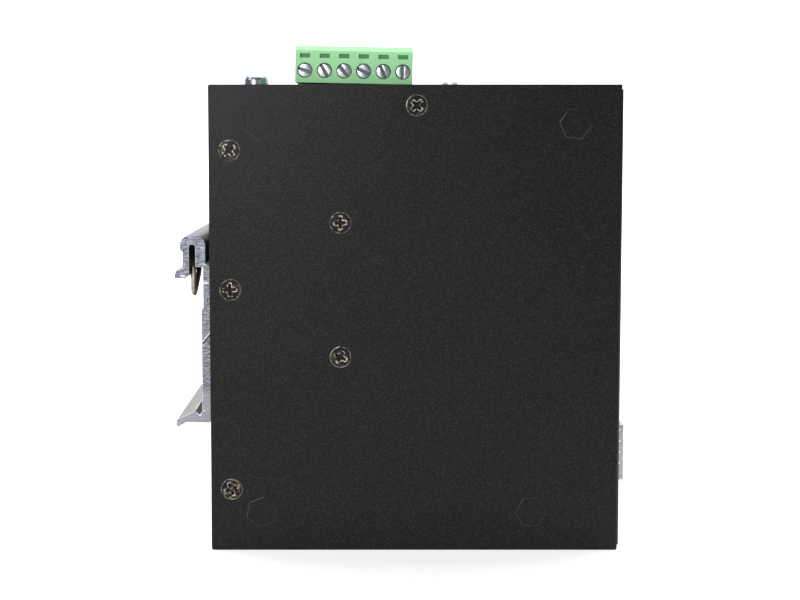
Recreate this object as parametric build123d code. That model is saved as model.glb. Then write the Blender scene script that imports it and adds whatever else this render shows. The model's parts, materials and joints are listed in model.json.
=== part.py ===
from build123d import *
import math
import os

# Ethernet switch for a 35 mm rail, in millimetres.
# +X is the front with the ports, -X the rear with the rail clip, +Z is up.
# The origin is the centre of the case's bottom face.

# Case
case_depth = 105.4
case_height = 120.0
case_width = 50.0
sheet = 1.2
bend_radius = 1.5
sheet_slip = 0.1
front_gap = 0.1
corner_round = 0.6

# Case screws, measured forward of the rear face and up from the bottom
screw_radius = 1.45
screw_hole_clearance = 0.05
screw_head_radius = 2.7
screw_head_height = 1.1
screw_length = 6.0
recess_span = 3.2
recess_width = 0.75
recess_depth = 0.8
rear_screw_inset = 5.3
rear_screw_top_drop = 16.7
rear_screw_middle_up = 67.75
rear_screw_low_up = 16.0
top_screw_forward = 52.8
top_screw_drop = 5.3
case_screw_turns = (38.0, 4.0, 20.0, 45.0)
block_screw_turns = (62.0, 2.0)
tab_width = 12.0
tab_reach = 10.0
tab_corner = 2.0

# Main board, with its component face towards the near side panel
board_depth_behind_panel = 23.5
board_thickness = 1.6
board_rear_inset = 7.0
board_front_inset = 4.4
board_edge_inset = 4.0
board_hole_radius = 1.6
standoff_rear = 13.0
standoff_front_top = 93.0
standoff_front_low = 82.5
standoff_inset = 10.0
standoff_proud = 0.12
standoff_turns = (24.3, 54.0, 20.3, 1.0)
standoff_head_flats = 7.2
standoff_radius = 2.7
standoff_thread_depth = 10.0
pan_head_radius = 2.75
pan_head_height = 2.0
pan_screw_length = 8.0
spacer_grip = 2.4

# Power board behind the main board
spacer_length = 6.0
spacer_radius = 2.6
power_board_depth = 50.0
power_screw_forward = 54.0
power_screw_top_drop = 22.0
power_part_clearance = 3.6

# Heat path from the switch chip to the near side panel
chip_size = 15.0
chip_height = 1.4
chip_forward = 33.4
chip_up = 67.65
pad_thickness = 0.8
block_depth = 17.0
block_screw_pitch = 34.5
block_end = 5.0
block_chamfer = 1.0

# Other parts on the boards
magnetics_depth = 9.5
magnetics_length = 17.0
magnetics_height = 5.6
magnetics_gap = 4.2
transformer_forward = 30.0
transformer_up = 78.0
transformer_width = 20.0
transformer_length = 17.0
transformer_lift = 1.5
transformer_bar = 3.0
transformer_window = 12.0
bobbin_width = 11.6
bobbin_length = 21.0
bobbin_corner = 2.0
inductor_forward = 47.0
inductor_heights = (40.0, 56.0)
inductor_side = 10.0
inductor_height = 5.0
inductor_corner = 1.5
capacitor_forward = (24.0, 36.0)
capacitor_heights = (34.0, 50.0)
capacitor_radius = 5.0
capacitor_waist_up = 1.6
capacitor_waist = 0.8
capacitor_waist_depth = 0.3
relay_forward = 66.0
relay_top_drop = 30.0
relay_width = 12.0
relay_length = 9.5
relay_height = 9.0
link_forward = 22.0
link_up = 20.0
link_width = 5.0
link_length = 15.2
part_chamfer = 0.6

# RJ45 jacks
jack_pitch = 18.0
jack_lowest = 42.0
jack_top_drop = 24.0
jack_width = 15.6
jack_height = 13.3
jack_length = 15.5
jack_shield = 0.3
jack_mouth_width = 11.7
jack_mouth_height = 6.9
jack_mouth_depth = 12.6
jack_key_width = 6.0
jack_key_height = 1.9
jack_mouth_lift = 3.0
jack_wires = 8
jack_wire = 0.35
jack_wire_pitch = 1.02
jack_wire_slot = 0.15
jack_wire_front = 2.4
jack_wire_rear = 9.4
jack_wire_rise = 3.6
jack_wire_sink = 1.4
jack_can_round = 0.4
cutout_clearance = 0.25

# Small transceiver cage
cage_up = 22.05
cage_width = 14.3
cage_height = 9.6
cage_wall = 0.35
cage_length = 47.0
collar_width = 15.1
collar_height = 10.2
collar_reach = 3.5
collar_wall = 0.75
cage_depth_behind_panel = 13.5
edge_connector_length = 9.0
edge_connector_height = 5.8
edge_connector_inset = 2.3
card_slot_width = 9.2
card_slot_gap = 1.1
card_slot_floor = 2.5
collar_slits = 5
collar_slit = 0.45
collar_slit_end = 0.8

# Terminal block: a moulded plug in a header soldered to the board
pole_count = 6
pole_pitch = 5.08
terminal_forward = 36.63
plug_near_behind_panel = 8.5
plug_thickness = 14.8
plug_stand = 0.5
plug_rise = 9.7
plug_face_rise = 8.3
plug_neck_length = 8.5
plug_slope_depth = 3.0
plug_lean = 1.1
plug_neck_depth = 6.1
plug_neck_start = 7.6
plug_neck_side = 0.3
terminal_screw_rise = 3.2
terminal_hole_radius = 1.965
terminal_head_clearance = 0.065
terminal_head_height = 2.0
terminal_head_recess = 0.3
terminal_thread_radius = 1.4
terminal_thread_clearance = 0.05
terminal_slot_width = 0.7
terminal_slot_depth = 0.9
terminal_slot_turns = (18.0, 58.0, 50.0, 23.0, 65.0, 93.0)
window_width = 2.6
window_height = 1.05
window_depth = 0.8
window_rise = 7.0
groove_depth = 0.6
groove_start = 1.5
funnel_flare = 1.6
funnel_width = 4.2
funnel_depth = 4.6
clamp_size = 4.2
clamp_wall = 0.5
clamp_nut_wall = 1.4
clamp_floor_wall = 1.0
clamp_travel = 2.0
clamp_side_clearance = 0.1
wire_gap = 3.2
contact_thickness = 0.8
contact_width = 2.4
contact_room = 0.1
contact_rise = 1.0
fork_inset = 0.8
screw_tip_gap = 0.4
pin_size = 1.0
pin_clearance = 0.2
pin_tip_drop = 2.4
pin_tail = 1.5
header_wall = 0.9
header_floor = 2.2
header_clearance = 0.3
top_cutout_clearance = 0.4

# DIP switch with two levers that stand out of the top
dip_forward = 62.2
dip_pitch = 2.54
dip_end = 0.7
dip_height = 8.2
dip_depth = 8.4
dip_below_top = 0.3
lever_width = 1.5
lever_depth = 1.9
lever_stand = 1.3
lever_travel = 2.0
lever_clearance = 0.08
lever_foot = 0.9

# Ground screw on the top
ground_forward = 9.8
ground_screw_turn = 30.0
ground_screw_radius = 1.7
ground_head_radius = 3.5
ground_head_height = 2.8
ground_washer_radius = 4.3
ground_washer_thickness = 0.6
ground_washer_teeth = 12
ground_nut_flats = 6.2
ground_nut_height = 2.4
ground_screw_proud = 0.2

# Rail clip: an extrusion with a hook above and a sprung foot below
clip_side_gap = 2.0
clip_plate = 1.95
clip_foot_plate = 2.4
clip_step_up = 62.8
hook_top = 81.55
hook_left = 7.85
hook_right = 1.3
hook_radius = 2.5
slot_left = 5.5
slot_right = 3.9
slot_top = 79.2
lip_outer = 7.2
lip_nib_up = 77.9
lip_bottom = 70.3
toe_reach = 9.35
hook_underside = 73.4
rail_ledge_up = 36.05
notch_bottom_up = 34.9
ridge_out = 4.3
foot_reach = 9.3
foot_bottom_up = 31.7
clip_screw_heights = (43.0, 59.0)
clip_screw_end = 9.0
clip_nut_radius = 3.1
clip_nut_height = 2.2

# Rail spring: round wire with a loop at each end
spring_wire = 1.4
spring_loop_bottom = 65.45
spring_tip_up = 73.3
spring_middle_up = 76.45
spring_near_leg = 3.0
spring_loop_width = 3.1
spring_end_run = 14.0
spring_shoulder_rise = 5.1
spring_shoulder_run = 1.6
spring_entry_run = 2.0
spring_bend = 3.0

# Light pipes in the front face
pipe_radius = 1.4
pipe_clearance = 0.1
pipe_side = 2.4
pipe_spread = 3.2
pipe_top_drop = 12.0
pipe_dome = 0.5
pipe_proud = 0.6
holder_length = 5.2
holder_wall = 0.7
holder_gap = 0.2
led_length = 2.6
led_height = 3.2
led_width = 3.0
led_lens_radius = 0.9
led_lens_rise = 0.05
led_gap = 0.1

# Places worked out from the sizes above
x_rear = -case_depth / 2
x_front = case_depth / 2
y_near = -case_width / 2
y_far = case_width / 2
board_face = y_near + board_depth_behind_panel
board_back = board_face + board_thickness
power_face = board_back + spacer_length
power_back = power_face + board_thickness
channel_half = case_width / 2 - sheet - sheet_slip
jack_count = 1 + int((case_height - jack_top_drop - jack_lowest) / jack_pitch + 0.01)
jack_heights = [jack_lowest + jack_pitch * n for n in range(jack_count)]
power_part_height = y_far - sheet - power_back - power_part_clearance
clip_length = case_width - 2 * clip_side_gap
plug_near = y_near + plug_near_behind_panel
plug_shoulder = case_height + plug_stand
plug_bottom = plug_shoulder - plug_neck_length
plug_face_top = plug_shoulder + plug_face_rise
plug_top = plug_shoulder + plug_rise
window_up = plug_shoulder + window_rise
terminal_screw_up = plug_shoulder + terminal_screw_rise
terminal_x = x_rear + terminal_forward
dip_x = x_rear + dip_forward
ground_x = x_rear + ground_forward
chip_x = x_rear + chip_forward
cage_near = y_near + cage_depth_behind_panel
cage_middle = cage_near + collar_height / 2
far = 200.0

rear_screw_heights = (case_height - rear_screw_top_drop, rear_screw_middle_up, rear_screw_low_up)
rear_screw_places = [(x_rear + rear_screw_inset, up) for up in rear_screw_heights]
top_screw_place = (x_rear + top_screw_forward, case_height - top_screw_drop)
case_screw_places = rear_screw_places + [top_screw_place]
block_screw_places = [(chip_x, chip_up + side * block_screw_pitch / 2) for side in (-1, 1)]
standoff_top = case_height - standoff_inset
board_places = [
    (x_rear + standoff_rear, standoff_top),
    (x_rear + standoff_front_top, standoff_top),
    (x_rear + standoff_rear, standoff_inset),
    (x_rear + standoff_front_low, standoff_inset),
]


# Helpers

def block(x, y, z):
    """A box between the low and high value given for each axis."""
    size = (x[1] - x[0], y[1] - y[0], z[1] - z[0])
    middle = ((x[0] + x[1]) / 2, (y[0] + y[1]) / 2, (z[0] + z[1]) / 2)
    return Pos(*middle) * Box(*size)


def around(middle, size):
    """The low and high value of a span with this middle and size."""
    return (middle - size / 2, middle + size / 2)


def rod(start, axis, radius, length, end_radius=None):
    """A round rod or cone from start along +axis."""
    plane = Plane(origin=start, z_dir=axis)
    if end_radius is None or end_radius == radius:
        shape = Cylinder(radius, length)
    else:
        shape = Cone(radius, end_radius, length)
    return plane * (Pos(0, 0, length / 2) * shape)


def prism(plane, points, depth):
    """An outline of straight edges, extruded along the plane's normal."""
    return extrude(plane * make_face(Polyline(*points, close=True)), depth)


def group(solids):
    """Several separate solids kept in one node."""
    return Compound(children=list(solids))


def fuse(first, *others):
    """One solid made of pieces that touch or overlap."""
    return Part() + [first, *others]


# Case

def folded_wrap():
    """Near side, front and far side folded from one sheet, seen from above as a U."""
    inner_bend = bend_radius - sheet
    outer = Pos(0, 0) * Rectangle(case_depth, case_width)
    outer = fillet(outer.vertices().group_by(Axis.X)[-1], bend_radius)
    hollow = Pos(-sheet / 2 - 1, 0) * Rectangle(case_depth - sheet + 2, case_width - 2 * sheet)
    hollow = fillet(hollow.vertices().group_by(Axis.X)[-1], inner_bend)
    wrap = extrude(outer - hollow, case_height)
    side_corners = wrap.edges().filter_by(Axis.Y).group_by(Axis.X)[0]
    return fillet(side_corners, corner_round)


def front_wrap():
    wrap = folded_wrap()
    front_edge = sheet + front_gap
    behind = x_front - sheet - front_gap
    for low, high in ((-far, front_edge), (case_height - front_edge, far)):
        ends = (low, high)
        wrap -= block((behind, far), (y_near + sheet, y_far - sheet), ends)
    for low, high in ((-far, sheet), (case_height - sheet, far)):
        wrap -= block((x_front - corner_round, far), (-far, far), (low, high))
    for x, up in case_screw_places + block_screw_places:
        wrap -= countersink((x, y_near, up), (0, 1, 0), 2 * sheet)
    for x, up in case_screw_places:
        wrap -= countersink((x, y_far, up), (0, -1, 0), 2 * sheet)
    for (x, up), turn in zip(board_places, standoff_turns):
        wrap -= hexagon_pocket(x, up, turn)
    for up in jack_heights:
        wide = jack_width + 2 * cutout_clearance
        high = jack_height + 2 * cutout_clearance
        middle = board_face - jack_height / 2
        wrap -= block((behind, far), around(middle, high), around(up, wide))
    collar_hole = collar_width + 2 * cutout_clearance
    collar_rise = collar_height + 2 * cutout_clearance
    wrap -= block((behind, far), around(cage_middle, collar_rise), around(cage_up, collar_hole))
    for y, up in pipe_places():
        wrap -= rod((behind, y, up), (1, 0, 0), pipe_radius + pipe_clearance, far)
    return wrap


def countersink(face, inward, through):
    """Room for a flat-head screw, with its head flush with the face."""
    hole = rod(face, inward, screw_radius + screw_hole_clearance, through)
    wide = screw_head_radius + screw_hole_clearance
    narrow = screw_radius + screw_hole_clearance
    return fuse(hole, rod(face, inward, wide, screw_head_height, narrow))


def hexagon_pocket(x, up, turn):
    """Clinched hexagon through the near panel."""
    outline = RegularPolygon(standoff_head_flats / 2, 6, major_radius=False, rotation=turn)
    plane = Plane(origin=(x, y_near, up), x_dir=(1, 0, 0), z_dir=(0, -1, 0))
    return extrude(plane * outline, -sheet)


def rear_channel():
    """Top, rear and bottom folded from one sheet, with tabs that take the side screws."""
    reach = case_depth - corner_round / 2
    outer = Pos(x_rear + reach / 2, case_height / 2) * Rectangle(reach, case_height)
    outer = fillet(outer.vertices().group_by(Axis.X)[0], bend_radius)
    inside = Pos(x_rear + reach / 2 + sheet, case_height / 2)
    hollow = inside * Rectangle(reach, case_height - 2 * sheet)
    hollow = fillet(hollow.vertices().group_by(Axis.X)[0], bend_radius - sheet)
    upright = Plane(origin=(0, channel_half, 0), x_dir=(1, 0, 0), z_dir=(0, -1, 0))
    channel = extrude(upright * (outer - hollow), 2 * channel_half)
    for side in (-1, 1):
        channel = fuse(channel, *[channel_tab(x, up, side) for x, up in case_screw_places])
    plug_side = pole_count * pole_pitch / 2 + top_cutout_clearance + header_wall
    cut_near = plug_near + plug_neck_start - header_wall - top_cutout_clearance
    top = (case_height - 2 * sheet, far)
    cut_far = board_face + top_cutout_clearance
    channel -= block(around(terminal_x, 2 * plug_side), (cut_near, cut_far), top)
    dip_wide = 2 * (dip_pitch / 2 + lever_width / 2 + dip_end)
    channel -= block(around(dip_x, dip_wide), around(lever_middle(), lever_slot_depth()), top)
    channel -= rod((ground_x, 0, case_height - 2 * sheet), (0, 0, 1), ground_screw_radius + 0.1, far)
    for y, up in clip_screw_places():
        channel -= rod((x_rear - sheet, y, up), (1, 0, 0), screw_radius + screw_hole_clearance, 3 * sheet)
    return channel


def channel_tab(x, up, side):
    """One folded tab, tapped for a case screw."""
    outer = side * channel_half
    y = tuple(sorted((outer, outer - side * sheet)))
    if (x, up) == top_screw_place:
        tab = block(around(x, tab_width), y, (case_height - tab_reach, case_height - sheet / 2))
        free = tab.edges().filter_by(Axis.Y).group_by(Axis.Z)[0]
    else:
        tab = block((x_rear + sheet / 2, x_rear + tab_reach), y, around(up, tab_width))
        free = tab.edges().filter_by(Axis.Y).group_by(Axis.X)[-1]
    tab = fillet(free, tab_corner)
    return tab - rod((x, outer + side, up), (0, -side, 0), screw_radius + screw_hole_clearance, 3)


def flat_screw(face, inward, length, turn):
    """Countersunk cross-recess screw with its head flush with the face."""
    head = rod(face, inward, screw_head_radius, screw_head_height, screw_radius)
    shank = rod(face, inward, screw_radius, length)
    return fuse(head, shank) - cross_recess(face, inward, turn)


def cross_recess(face, inward, turn):
    """Two crossed slots sunk into a screw head."""
    plane = Plane(origin=face, z_dir=inward)
    deep = 2 * recess_depth
    cross = fuse(Box(recess_span, recess_width, deep), Box(recess_width, recess_span, deep))
    return plane * (Rot(0, 0, turn) * cross)


def case_screws():
    """Four to a side, each stopped at its own angle."""
    solids = []
    for n, (x, up) in enumerate(case_screw_places):
        solids.append(flat_screw((x, y_near, up), (0, 1, 0), screw_length, case_screw_turns[n]))
        solids.append(flat_screw((x, y_far, up), (0, -1, 0), screw_length, -case_screw_turns[n]))
    return group(solids)


def heat_block_screws():
    places = zip(block_screw_places, block_screw_turns)
    length = screw_length + sheet
    return group(flat_screw((x, y_near, up), (0, 1, 0), length, turn) for (x, up), turn in places)


# Boards

def board_standoffs():
    """Round standoffs whose hexagon ends are clinched into the near panel, a little proud."""
    solids = []
    thread = screw_radius + screw_hole_clearance
    for (x, up), turn in zip(board_places, standoff_turns):
        raised = Pos(0, -standoff_proud, 0) * hexagon_pocket(x, up, turn)
        head = fuse(hexagon_pocket(x, up, turn), raised)
        head = chamfer(head.faces().sort_by(Axis.Y)[0].edges(), 0.9 * standoff_proud)
        shank = rod((x, y_near + sheet / 2, up), (0, 1, 0), standoff_radius, board_face - y_near - sheet / 2)
        solids.append(fuse(head, shank) - rod((x, board_face, up), (0, -1, 0), thread, standoff_thread_depth))
    return group(solids)


def board_outline(y_low, thickness, x_end):
    x = (x_rear + board_rear_inset, x_end)
    return block(x, (y_low, y_low + thickness), (board_edge_inset, case_height - board_edge_inset))


def power_places():
    """Where the power board's spacers stand: two in line with the rear standoffs, two ahead."""
    ahead = x_rear + power_screw_forward
    rear = [board_places[0], board_places[2]]
    return rear + [(ahead, case_height - power_screw_top_drop), (ahead, standoff_inset)]


def main_board():
    board = board_outline(board_face, board_thickness, x_front - board_front_inset)
    for x, up in board_places + power_places()[2:]:
        board -= rod((x, board_face - 1, up), (0, 1, 0), board_hole_radius, board_thickness + 2)
    for n in range(pole_count):
        board -= block(
            around(pole_x(n), pin_size + pin_clearance),
            (board_face - 1, board_back + 1),
            around(pin_solder_up(), pin_size + pin_clearance),
        )
    return board


def power_board():
    board = board_outline(power_face, board_thickness, x_rear + board_rear_inset + power_board_depth)
    for x, up in power_places():
        board -= rod((x, power_face - 1, up), (0, 1, 0), board_hole_radius, board_thickness + 2)
    return board


def pan_screw(x, y, up, inward, length):
    """Pan-head screw driven along +Y or -Y from the face at y."""
    head = rod((x, y, up), (0, -inward, 0), pan_head_radius, pan_head_height)
    head = fillet(head.edges().filter_by(GeomType.CIRCLE).sort_by(Axis.Y)[0 if inward > 0 else -1], 0.9)
    shank = rod((x, y, up), (0, inward, 0), screw_radius, length)
    top = (x, y - inward * pan_head_height, up)
    return fuse(head, shank) - cross_recess(top, (0, inward, 0), 0)


def board_screws():
    """Two into the front standoffs and two into the power board's front spacers."""
    front = [pan_screw(x, board_back, up, -1, pan_screw_length) for x, up in (board_places[1], board_places[3])]
    reach = board_thickness + spacer_grip
    ahead = [pan_screw(x, board_face, up, 1, reach) for x, up in power_places()[2:]]
    return group(front + ahead)


def board_spacers():
    """Hexagon spacers between the boards; the rear pair has studs through to the standoffs."""
    thread = screw_radius + screw_hole_clearance
    solids = []
    for n, (x, up) in enumerate(power_places()):
        plane = Plane(origin=(x, board_back, up), x_dir=(1, 0, 0), z_dir=(0, 1, 0))
        spacer = extrude(plane * RegularPolygon(spacer_radius, 6, major_radius=False), spacer_length)
        if n < 2:
            spacer = fuse(spacer, rod((x, board_back + 1, up), (0, -1, 0), screw_radius, pan_screw_length))
            spacer -= rod((x, power_face, up), (0, -1, 0), thread, spacer_length - 1.5)
        else:
            spacer -= rod((x, board_back - 1, up), (0, 1, 0), thread, spacer_length + 2)
        solids.append(spacer)
    return group(solids)


def power_board_screws():
    reach = board_thickness + spacer_grip
    return group(pan_screw(x, power_back, up, -1, reach) for x, up in power_places())


def chip_package(x, up, y, side, height, outward):
    """A square package on a board face with a small locating dimple."""
    body = block(around(x, side), tuple(sorted((y, y + outward * height))), around(up, side))
    body = chamfer(body.edges().filter_by(Axis.Y), side / 30)
    mark = side / 2 - side / 8
    return body - rod((x - mark, y + outward * height, up + mark), (0, -outward, 0), side / 24, height / 5)


def switch_chip():
    return chip_package(chip_x, chip_up, board_face, chip_size, chip_height, -1)


def thermal_pad():
    face = board_face - chip_height
    return block(around(chip_x, chip_size), (face - pad_thickness, face), around(chip_up, chip_size))


def heat_block():
    """Aluminium block from the pad to the near side panel, tapped for its two screws."""
    y = (y_near + sheet, board_face - chip_height - pad_thickness)
    length = block_screw_pitch + 2 * block_end
    solid = block(around(chip_x, block_depth), y, around(chip_up, length))
    solid = chamfer(solid.edges().filter_by(Axis.Z), 1.0)
    for x, up in block_screw_places:
        solid -= rod((x, y[0], up), (0, 1, 0), screw_radius + screw_hole_clearance, screw_length + 4)
    return solid


def magnetics():
    """One network transformer for each pair of jacks, behind them."""
    x = jack_span()[0] - magnetics_gap - magnetics_depth / 2
    solids = []
    for lower, upper in zip(jack_heights[0::2], jack_heights[1::2]):
        y = (board_face - magnetics_height, board_face)
        body = block(around(x, magnetics_depth), y, around((lower + upper) / 2, magnetics_length))
        solids.append(chamfer(body.edges().group_by(Axis.Y)[0], part_chamfer))
    return group(solids)


def power_transformer():
    """Ferrite core around a square bobbin."""
    x = x_rear + transformer_forward
    under_bar = power_back + power_part_height - transformer_bar
    core_y = (power_back + transformer_lift, power_back + power_part_height)
    core = block(around(x, transformer_width), core_y, around(transformer_up, transformer_length))
    window = block(around(x, transformer_window), (power_back - 1, under_bar), (-far, far))
    bobbin_y = (power_back, under_bar - led_gap)
    bobbin = block(around(x, bobbin_width), bobbin_y, around(transformer_up, bobbin_length))
    return group([core - window, chamfer(bobbin.edges().filter_by(Axis.Y), bobbin_corner)])


def power_inductors():
    """Shielded drum inductors with rounded corners and a ring groove round the drum."""
    x = x_rear + inductor_forward
    top = power_back + inductor_height
    drum = inductor_side * 0.36
    solids = []
    for up in inductor_heights:
        body = block(around(x, inductor_side), (power_back, top), around(up, inductor_side))
        body = fillet(body.edges().filter_by(Axis.Y), inductor_corner)
        groove = rod((x, top, up), (0, -1, 0), drum, sheet / 2)
        groove -= rod((x, top, up), (0, -1, 0), drum - sheet / 2, sheet)
        solids.append(body - groove)
    return group(solids)


def capacitors():
    """Upright cans with a crimped waist."""
    solids = []
    for forward in capacitor_forward:
        for up in capacitor_heights:
            start = (x_rear + forward, power_back, up)
            can = rod(start, (0, 1, 0), capacitor_radius, power_part_height)
            low = (start[0], power_back + capacitor_waist_up, up)
            waist = rod(low, (0, 1, 0), capacitor_radius + 1, capacitor_waist)
            waist -= rod(low, (0, 1, 0), capacitor_radius - capacitor_waist_depth, capacitor_waist)
            solids.append(can - waist)
    return group(solids)


def alarm_relay():
    y = (board_face - relay_height, board_face)
    up = case_height - relay_top_drop
    body = block(around(x_rear + relay_forward, relay_width), y, around(up, relay_length))
    return chamfer(body.edges().group_by(Axis.Y)[0], part_chamfer)


def board_link():
    """Pin header that joins the two boards."""
    return block(around(x_rear + link_forward, link_width), (board_back, power_face), around(link_up, link_length))


# Network jacks

def jack_span():
    """Front face and rear of a jack along X."""
    face = x_front - sheet_slip
    return (face - jack_length, face)


def jack_mouth(up, grow=0.0):
    """Plug-shaped space of a jack, with its latch key towards the near side."""
    x = (jack_span()[1] - jack_mouth_depth, far)
    floor = board_face - jack_mouth_lift
    roof = floor - jack_mouth_height
    key = (roof - jack_key_height - grow, roof + 1)
    mouth = block(x, (roof - grow, floor + grow), around(up, jack_mouth_width + 2 * grow))
    return fuse(mouth, block(x, key, around(up, jack_key_width + 2 * grow)))


def jack_wire_places(up):
    return [up + (n - (jack_wires - 1) / 2) * jack_wire_pitch for n in range(jack_wires)]


def rj45_shield(up):
    """Folded metal can, open towards the board."""
    y = (board_face - jack_height, board_face)
    can = block(jack_span(), y, around(up, jack_width))
    can = fillet(can.edges().filter_by(Axis.X).group_by(Axis.Y)[0], jack_can_round)
    inner_x = (jack_span()[0] + jack_shield, jack_span()[1] - jack_shield)
    inner = block(inner_x, (y[0] + jack_shield, far), around(up, jack_width - 2 * jack_shield))
    return can - inner - jack_mouth(up, jack_wire_slot)


def rj45_insert(up):
    """Moulded insert that fills the can, with a comb of slots for the contact wires."""
    x = (jack_span()[0] + jack_shield, jack_span()[1] - jack_shield)
    y = (board_face - jack_height + jack_shield, board_face)
    body = block(x, y, around(up, jack_width - 2 * jack_shield)) - jack_mouth(up)
    front = jack_span()[1]
    floor = board_face - jack_mouth_lift
    slot_x = (front - jack_wire_rear - jack_wire_slot, front - jack_wire_front + jack_wire)
    slots = [
        block(slot_x, (floor - 1, board_face + 1), around(z, jack_wire + jack_wire_slot))
        for z in jack_wire_places(up)
    ]
    return body - slots


def rj45_contacts():
    """Spring wires: a solder leg, a run under the floor and a slope back into the mouth."""
    front = jack_span()[1]
    floor = board_face - jack_mouth_lift
    leg = front - jack_wire_rear + jack_wire
    route = Polyline(
        (leg, board_face),
        (leg, floor + jack_wire_sink),
        (front - jack_wire_front, floor + jack_wire_sink),
        (front - jack_wire_front, floor),
        (front - jack_wire_rear, floor - jack_wire_rise),
    )
    wire = extrude(trace(route, jack_wire), jack_wire)
    solids = []
    for up in jack_heights:
        solids += [Pos(0, 0, z - jack_wire / 2) * wire for z in jack_wire_places(up)]
    return group(solids)


# Transceiver cage

def sfp_cage():
    """Folded cage with a slit spring collar that stands out of the front face."""
    tip = x_front + collar_reach
    x = (tip - cage_length, tip)
    body = block(x, around(cage_middle, cage_height), around(cage_up, cage_width))
    collar = block((x_front - sheet, tip), around(cage_middle, collar_height), around(cage_up, collar_width))
    collar = fillet(collar.edges().filter_by(Axis.X), 0.5)
    inside = block(
        (x[0] + cage_wall, far),
        around(cage_middle, cage_height - 2 * cage_wall),
        around(cage_up, cage_width - 2 * cage_wall),
    )
    floor = cage_middle + cage_height / 2
    rear_window = block(
        (x[0] + edge_connector_inset - cage_wall, x[0] + edge_connector_inset + edge_connector_length + cage_wall),
        (floor - 2 * cage_wall, floor + 1),
        around(cage_up, cage_width - 4 * cage_wall),
    )
    cage = fuse(body, collar) - inside - rear_window
    slit_x = (x_front + collar_slit_end, tip - collar_slit_end)
    for n in range(collar_slits):
        up = cage_up + (n - (collar_slits - 1) / 2) * collar_width / collar_slits
        cage -= block(slit_x, (-far, far), around(up, collar_slit))
    for side in (-1, 1):
        across = cage_middle + side * collar_height / collar_slits
        cage -= block(slit_x, around(across, collar_slit), (-far, far))
    return cage


def sfp_connector():
    """Edge connector at the back of the cage."""
    x0 = x_front + collar_reach - cage_length + edge_connector_inset
    y = (board_face - edge_connector_height, board_face)
    body = block((x0, x0 + edge_connector_length), y, around(cage_up, cage_width - 5 * cage_wall))
    body = chamfer(body.edges().filter_by(Axis.Z).group_by(Axis.Y)[0], part_chamfer)
    gap = around(board_face - edge_connector_height / 2, card_slot_gap)
    return body - block((x0 + card_slot_floor, far), gap, around(cage_up, card_slot_width))


# Terminal block

def pole_x(n):
    return terminal_x + (n - (pole_count - 1) / 2) * pole_pitch


def plug_half():
    return pole_count * pole_pitch / 2


def pin_y():
    return plug_near + plug_neck_start + plug_neck_depth / 2


def pin_solder_up():
    return header_bottom() + header_floor / 2


def header_bottom():
    return plug_bottom - 2 * header_clearance - header_floor


def leaning(shape):
    """The plug sits a little crooked in its header, turned about its neck."""
    pivot = Pos(terminal_x, 0, (plug_bottom + plug_shoulder) / 2)
    return pivot * (Rot(0, plug_lean, 0) * (Pos(-terminal_x, 0, -(plug_bottom + plug_shoulder) / 2) * shape))


def contact_near():
    """Near face of the contact bar that a wire is clamped against."""
    return pin_y() - plug_neck_depth / 2 + header_wall + 0.2


def clamp_span():
    """The clamp cage along Y at rest, fully open."""
    floor = contact_near() + contact_thickness + wire_gap
    return (floor - clamp_window() - clamp_nut_wall, floor + clamp_floor_wall)


def clamp_window():
    return wire_gap + contact_thickness + 0.2 + clamp_travel - 0.6


def contact_top():
    """Height of the contacts' upper ends, above the clamp cages."""
    return terminal_screw_up + clamp_size / 2 + contact_rise


def terminal_plug():
    rear = plug_near + plug_thickness
    outline = [
        (plug_near, plug_shoulder),
        (plug_near, plug_face_top),
        (plug_near + plug_slope_depth, plug_top),
        (rear, plug_top),
        (rear, plug_shoulder),
    ]
    side = Plane(origin=(terminal_x - plug_half(), 0, 0), x_dir=(0, 1, 0), z_dir=(1, 0, 0))
    body = prism(side, outline, 2 * plug_half())
    neck_y = (plug_near + plug_neck_start, plug_near + plug_neck_start + plug_neck_depth)
    neck_half = plug_half() - plug_neck_side
    neck = block(around(terminal_x, 2 * neck_half), neck_y, (plug_bottom, plug_shoulder + 1))
    body = fuse(body, neck)
    for n in range(pole_count):
        body -= pole_cavity(pole_x(n), rear)
    for n in range(pole_count + 1):
        body -= pole_groove(pole_x(n) - pole_pitch / 2, rear)
    return leaning(body)


def pole_cavity(x, rear):
    """Screw hole, clamp space, wire funnel, contact slot and front window of one pole."""
    up = terminal_screw_up
    low, high = clamp_span()
    room = 2 * clamp_side_clearance
    space_y = (low - clamp_travel - 0.15, high + 0.15)
    space = block(around(x, clamp_size + room), space_y, around(up, clamp_size + room))
    hole = rod((x, plug_near - 1, up), (0, 1, 0), terminal_hole_radius, space_y[0] - plug_near + 1.5)
    wire_y = contact_near() + contact_thickness + wire_gap / 2
    funnel = block(around(x, wire_gap), around(wire_y, wire_gap), (up, far))
    flare_start = Plane(origin=(x, wire_y, plug_top - funnel_flare))
    flare_end = Plane(origin=(x, wire_y, plug_top + 0.1))
    mouth = loft([flare_start * Rectangle(wire_gap, wire_gap), flare_end * Rectangle(funnel_width, funnel_depth)])
    slot_width = contact_width + 2 * contact_room
    slot_y = (contact_near() - contact_room, 2 * pin_y() - contact_near() + contact_room)
    slot = block(around(x, slot_width), slot_y, (-far, up))
    bar_y = (contact_near() - contact_room, contact_near() + contact_thickness + contact_room)
    bar = block(around(x, slot_width), bar_y, (up, contact_top() + 2 * contact_room))
    window = block(around(x, window_width), (-far, plug_near + window_depth), around(window_up, window_height))
    return fuse(space, hole, funnel, mouth, slot, bar) + window


def pole_groove(x, rear):
    """Shallow groove across the top between two poles."""
    start = plug_near + plug_slope_depth + groove_start
    plane = Plane(origin=(0, start, 0), x_dir=(1, 0, 0), z_dir=(0, -1, 0))
    low = plug_top - groove_depth
    points = [(x - 2 * groove_depth, plug_top + groove_depth), (x + 2 * groove_depth, plug_top + groove_depth), (x, low)]
    return prism(plane, points, start - rear - 1)


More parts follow.
